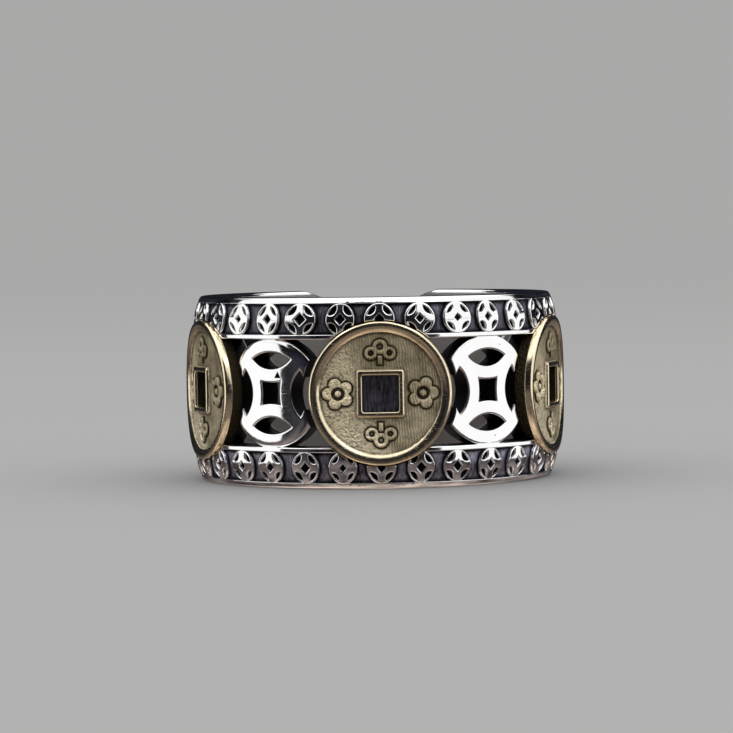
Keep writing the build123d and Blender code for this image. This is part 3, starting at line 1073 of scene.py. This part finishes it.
def wear_group():
    """Hand finishing: the height of broad waves, fine scratches and grain, and their dullness."""
    inputs = {"Waves": 3.0, "Scratches": 0.05, "Grain": 0.02}
    sheet, given, out = group("wear", inputs, ["Height", "Dullness"])
    place = sheet.place()
    waves = sheet.noise(place, 340.0, 0.0)
    scratches = 0.0
    for turn in ((0.3, 0.2, 0.5), (-0.5, 0.9, -0.3)):
        lines = sheet.noise(sheet.stretched(place, turn, (1.0, 1.0, 14.0)), 1500.0, 2.0, 0.7)
        scratches = sheet.work_out("ADD", scratches, sheet.span(lines, 0.6, 0.68))
    grain = sheet.noise(place, 9000.0, 2.0)
    height = sheet.add((waves, given["Waves"]), (scratches, given["Scratches"]), (grain, given["Grain"]))
    sheet.put(height, out["Height"])
    sheet.put(sheet.work_out("MULTIPLY", scratches, sheet.noise(place, 700.0)), out["Dullness"])
    return sheet.tree


def brush_group():
    """Short brush strokes down a surface, as a height and as lighter and darker streaks."""
    sheet, given, out = group("brush", {"Size": 1.0}, ["Height", "Streak"])
    scale = sheet.work_out("MULTIPLY", given["Size"], 8500.0)
    ways = [sheet.stretched(sheet.place(), (0.0, turn, 0.0), (1.0, 1.0, 0.13)) for turn in (0.5, -0.25)]
    strokes = [sheet.noise(way, scale, 3.0, 0.6, 0.4) for way in ways]
    both = sheet.work_out("MAXIMUM", *strokes)
    sheet.put(both, out["Height"])
    clouds = sheet.noise(sheet.place(), 1300.0, 3.0, 0.6)
    sheet.put(sheet.add((both, 1.0), (clouds, 0.5), (1.0, -0.35)), out["Streak"])
    return sheet.tree


def ground_group():
    """A brass coin's ground: file marks to the right, pebbled casting skin to the lower left."""
    sheet, given, out = group("coin_ground", {"Marks": 1.0}, ["Height", "Tone"])
    spot = sheet.value("spot", "Vector")
    x, y, _ = sheet.node("SeparateXYZ", {0: spot}).outputs
    wander = sheet.noise(spot, 1.6, 2.0)
    across = sheet.add((x, 1.0), (y, 0.06), (wander, 0.35))
    lines = sheet.work_out("SINE", sheet.work_out("MULTIPLY", across, FULL_TURN / FILE_MARKS))
    lines = sheet.work_out("MULTIPLY", lines, sheet.span(sheet.noise(spot, 4.5, 3.0), 0.35, 0.6, 0.15, 1.0))
    filed = sheet.add((lines, 0.3), (sheet.noise(spot, 11.0, 3.0, 0.6), 0.7))
    pebbles = sheet.node("TexVoronoi", {"Vector": spot, "Scale": 7.0}, feature="SMOOTH_F1").outputs[0]
    pebbles = sheet.add((sheet.span(pebbles, 0.1, 0.6), 1.1), (sheet.noise(spot, 9.0, 3.0, 0.6), 1.2))
    right = sheet.span(sheet.add((x, 1.0), (y, 0.32), (wander, 0.8), (1.0, 0.45)), -0.45, 0.45)
    height = sheet.node("Mix", {0: right, 2: pebbles, 3: filed}).outputs[0]
    sheet.put(sheet.work_out("MULTIPLY", height, given["Marks"]), out["Height"])
    stains = sheet.noise(spot, 1.1, 4.0, 0.6)
    sheet.put(sheet.add((height, 0.35), (stains, 0.9), (1.0, -0.15)), out["Tone"])
    return sheet.tree


TARNISH_AND_SHADE, WEAR, BRUSH, GROUND = tarnish_and_shade_group(), wear_group(), brush_group(), ground_group()


def finish(name):
    """A material with its sheet and shader."""
    made = bpy.data.materials.new(name)
    made.use_nodes = True
    return made, Sheet(made.node_tree), made.node_tree.nodes["Principled BSDF"]


def give(sheet, shader, color, rough, metal, height):
    """Joins a finish's color, roughness, metal share and height to its shader."""
    bump = sheet.node("Bump", {"Height": height, "Strength": 1.0, "Distance": HUNDREDTH})
    sheet.put(color, shader.inputs["Base Color"])
    sheet.put(rough, shader.inputs["Roughness"])
    sheet.put(metal, shader.inputs["Metallic"])
    sheet.put(bump.outputs[0], shader.inputs["Normal"])


def silver_finish():
    """Bright polished casting, blackened in its recesses and openings, with painted shade in their corners
    and a ground painted lighter at the lower rail; satin in the bore.
    """
    made, sheet, shader = finish("polished_and_blackened_silver_with_painted_light_and_shade")
    tones = SILVER_COLORS
    bore = sheet.value("bore")
    film, corner_shade = sheet.effect(TARNISH_AND_SHADE, Recess=sheet.value("recess_and_shade"), Scale=1400.0, Patches=0.25)
    wear = sheet.effect(WEAR, Waves=1.4, Scratches=0.02, Grain=0.004)
    brush = sheet.effect(BRUSH, Size=1.0)
    # Painted light: the ground is lighter at the lower rail
    ground = sheet.blend(sheet.up(), tones["lower ground painted light"], tones["upper ground painted shade"])
    ground = sheet.blend(sheet.span(brush["Streak"], 0.25, 0.75), tones["strokes"], ground)
    # Painted shade in corners and openings
    ground = sheet.blend(corner_shade, ground, tones["corner_shade"])
    color = sheet.blend(film, sheet.blend(bore, tones["polished"], tones["bore"]), ground)
    rough = sheet.add((sheet.work_out("ADD", wear["Dullness"], 0.6), 0.13), (film, 0.37), (bore, 0.4))
    metal = sheet.add((film, -0.02), (bore, -0.05), (1.0, 1.0))
    height = sheet.add((wear["Height"], 1.0), (sheet.work_out("MULTIPLY", brush["Height"], film), 2.2))
    give(sheet, shader, color, rough, metal, height)
    return made


def brass_finish():
    """Old brass: polished rims, and a dull olive ground with painted shade round everything raised, painted
    lighter at the lower rail.
    """
    made, sheet, shader = finish("aged_brass_with_painted_light_and_shade")
    tones = BRASS_COLORS
    film, corner_shade = sheet.effect(TARNISH_AND_SHADE, Recess=sheet.value("recess_and_shade"), Scale=1500.0, Patches=0.15)
    wear = sheet.effect(WEAR, Waves=3.0, Scratches=0.08, Grain=0.04)
    ground = sheet.effect(GROUND, Marks=1.0)
    # Painted light: the ground is lighter at the lower rail
    aged_and_painted_ground = sheet.blend(sheet.up(), tones["lower ground painted light"], tones["upper ground painted shade"])
    aged_and_painted_ground = sheet.blend(sheet.span(ground["Tone"], 0.2, 0.8), tones["patina"], aged_and_painted_ground)
    # Painted shade round everything raised
    aged_and_painted_ground = sheet.blend(corner_shade, aged_and_painted_ground, tones["corner_shade"])
    color = sheet.blend(film, tones["polished"], aged_and_painted_ground)
    rough = sheet.add((sheet.work_out("ADD", wear["Dullness"], 0.8), 0.2), (film, 0.4))
    metal = sheet.add((film, -0.05), (1.0, 1.0))
    height = sheet.add((wear["Height"], 1.0), (sheet.work_out("MULTIPLY", ground["Height"], film), 5.5))
    give(sheet, shader, color, rough, metal, height)
    return made


def added(name, data):
    """A new object in the scene."""
    made = bpy.data.objects.new(name, data)
    bpy.context.scene.collection.objects.link(made)
    return made


def put_on(name, mesh, finish_used):
    """A piece that takes a CAD node's place."""
    piece = added(name + "_piece", mesh)
    mesh.materials.append(finish_used)
    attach(piece, "root")
    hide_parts(name)


def ring():
    """The silver band, and the brass coins on its front and sides."""
    put_on("silver_band", silver_band_mesh(), silver_finish())
    points, faces, values = brass_coin_mesh()
    brass = brass_finish()
    for side, turns in (("front", 0), ("left", -2), ("right", 2)):
        c, s = math.cos(turns * COIN_STEP), math.sin(turns * COIN_STEP)
        spin = np.array([[c, s, 0], [-s, c, 0], [0, 0, 1]])
        placed = (points @ spin + (0, 0, MIDDLE)) * MM + (0, AXIS_Y, 0)
        name = "brass_coin_" + side
        put_on(name, joined(name + "_mesh", placed, faces, values), brass)


# The photograph's view: lens in millimetres, angles in degrees, distances in metres
PHOTO_WIDTH = 733  # pixels
PHOTO_SHIFT = (-9.2, 17.7)  # pixels from the picture's middle
LENS = 161.43
CAMERA_AZIMUTH, CAMERA_RISE, CAMERA_ROLL = -1.4, 2.84, -0.87
CAMERA_REACH = 0.2057

# Light panels: azimuth and rise in degrees, distance, width and height in metres, and how bright a polished
# face shows them
PANELS = {
    "panel_left_low": (-84.8, 1, 0.25, 0.203, 0.097, 1.04),
    "panel_left_high": (-77, 36, 0.25, 0.24, 0.223, 1.03),
    "panel_right_low": (75, 1, 0.25, 0.364, 0.097, 1.03),
    "panel_right_high": (67, 36, 0.25, 0.36, 0.223, 1.0),
    "panel_top": (0, 90, 0.27, 0.5, 0.5, 1.3),
}

# The room that the metal mirrors: its color from the ring up, then what it turns to below, from one slope
# to a lower one, where -1 is straight down. After it, what lights dull faces and what the camera sees.
ROOM = (0.012, 0.013, 0.018, 1)
ROOM_BELOW = [(-0.03, -0.4, (0.16, 0.135, 0.128, 1)), (-0.64, -0.9, (0.54, 0.44, 0.375, 1))]
ROOM_SPOTS = {"size": 3.5, "dim": 0.2, "bright": 1.9}
ROOM_LIGHT = (8.0, 7.95, 7.9, 1)
BACKDROP = (0.402, 0.399, 0.396, 1)
FLOOR_GRAY = (0.05, 0.05, 0.05, 1)
FLOOR_RADIUS = 3
FLOOR_SIDES = 96


def way_to(azimuth, rise):
    """Direction from the ring to something, by its azimuth and rise in degrees."""
    a, e = math.radians(azimuth), math.radians(rise)
    return Vector((math.sin(a) * math.cos(e), -math.cos(a) * math.cos(e), math.sin(e)))


def camera():
    """The camera stands as in the photograph: just above the floor and a little to the ring's left."""
    data = bpy.data.cameras.new("camera")
    data.sensor_width = 36
    data.lens = LENS
    data.shift_x, data.shift_y = (pixels / PHOTO_WIDTH for pixels in PHOTO_SHIFT)
    data.clip_start = 0.01
    data.clip_end = 20
    made = added("camera", data)
    bpy.context.scene.camera = made
    away = way_to(CAMERA_AZIMUTH, CAMERA_RISE)
    place = Vector((0, AXIS_Y, MIDDLE * MM)) + away * CAMERA_REACH
    turn = (-away).to_track_quat("-Z", "Y").to_matrix().to_4x4()
    roll = Matrix.Rotation(math.radians(CAMERA_ROLL), 4, "Z")
    made.matrix_world = Matrix.Translation(place) @ turn @ roll


def panel(name, azimuth, rise, reach, width, tall, glow):
    """A soft light panel that faces the ring."""
    data = bpy.data.lights.new(name, "AREA")
    data.shape = "RECTANGLE"
    data.size = width
    data.size_y = tall
    data.energy = glow * math.pi * width * tall
    made = added(name, data)
    away = way_to(azimuth, rise)
    made.location = away * reach
    made.rotation_euler = (-away).to_track_quat("-Z", "Y").to_euler()


def surroundings():
    """A dark room as the polished metal mirrors it, and pale to the eye and for the floor."""
    world = bpy.data.worlds.new("surroundings")
    bpy.context.scene.world = world
    world.use_nodes = True
    world.cycles.sampling_method = "NONE"
    world.node_tree.nodes.clear()
    sheet = Sheet(world.node_tree)
    path = sheet.node("LightPath").outputs
    way = sheet.node("TexCoord").outputs["Generated"]
    height = sheet.node("SeparateXYZ", {0: way}).outputs[2]
    room = ROOM
    for high, low, below in ROOM_BELOW:
        room = sheet.blend(sheet.span(height, low, high), below, room)
    spots = sheet.noise(way, ROOM_SPOTS["size"], 3.0)
    uneven = sheet.span(spots, 0.35, 0.65, ROOM_SPOTS["dim"], ROOM_SPOTS["bright"])
    room = sheet.node("VectorMath", {0: room, "Scale": uneven}, operation="SCALE").outputs[0]
    seen = sheet.blend(path["Is Camera Ray"], ROOM_LIGHT, BACKDROP)
    color = sheet.blend(path["Is Glossy Ray"], seen, room)
    background = sheet.node("Background", {"Color": color, "Strength": 1.0})
    sheet.node("OutputWorld", {"Surface": background.outputs[0]})


def plain_floor():
    """A plain pale floor that the metal doesn't mirror."""
    mesh = bpy.data.meshes.new("floor")
    turns = np.linspace(0, FULL_TURN, FLOOR_SIDES, endpoint=False)
    corners = round_band(turns, FLOOR_RADIUS, np.zeros(FLOOR_SIDES))
    mesh.from_pydata(corners.tolist(), [], [list(range(FLOOR_SIDES))])
    floor = added("floor", mesh)
    plain, _, shader = finish("plain_floor")
    shader.inputs["Base Color"].default_value = FLOOR_GRAY
    shader.inputs["Roughness"].default_value = 0.9
    shader.inputs["Specular IOR Level"].default_value = 0.0
    mesh.materials.append(plain)
    floor.visible_glossy = False
    floor.visible_shadow = False


ring()
camera()
for panel_name, placing in PANELS.items():
    panel(panel_name, *placing)
surroundings()
plain_floor()
bpy.context.scene.view_settings.view_transform = "Standard"
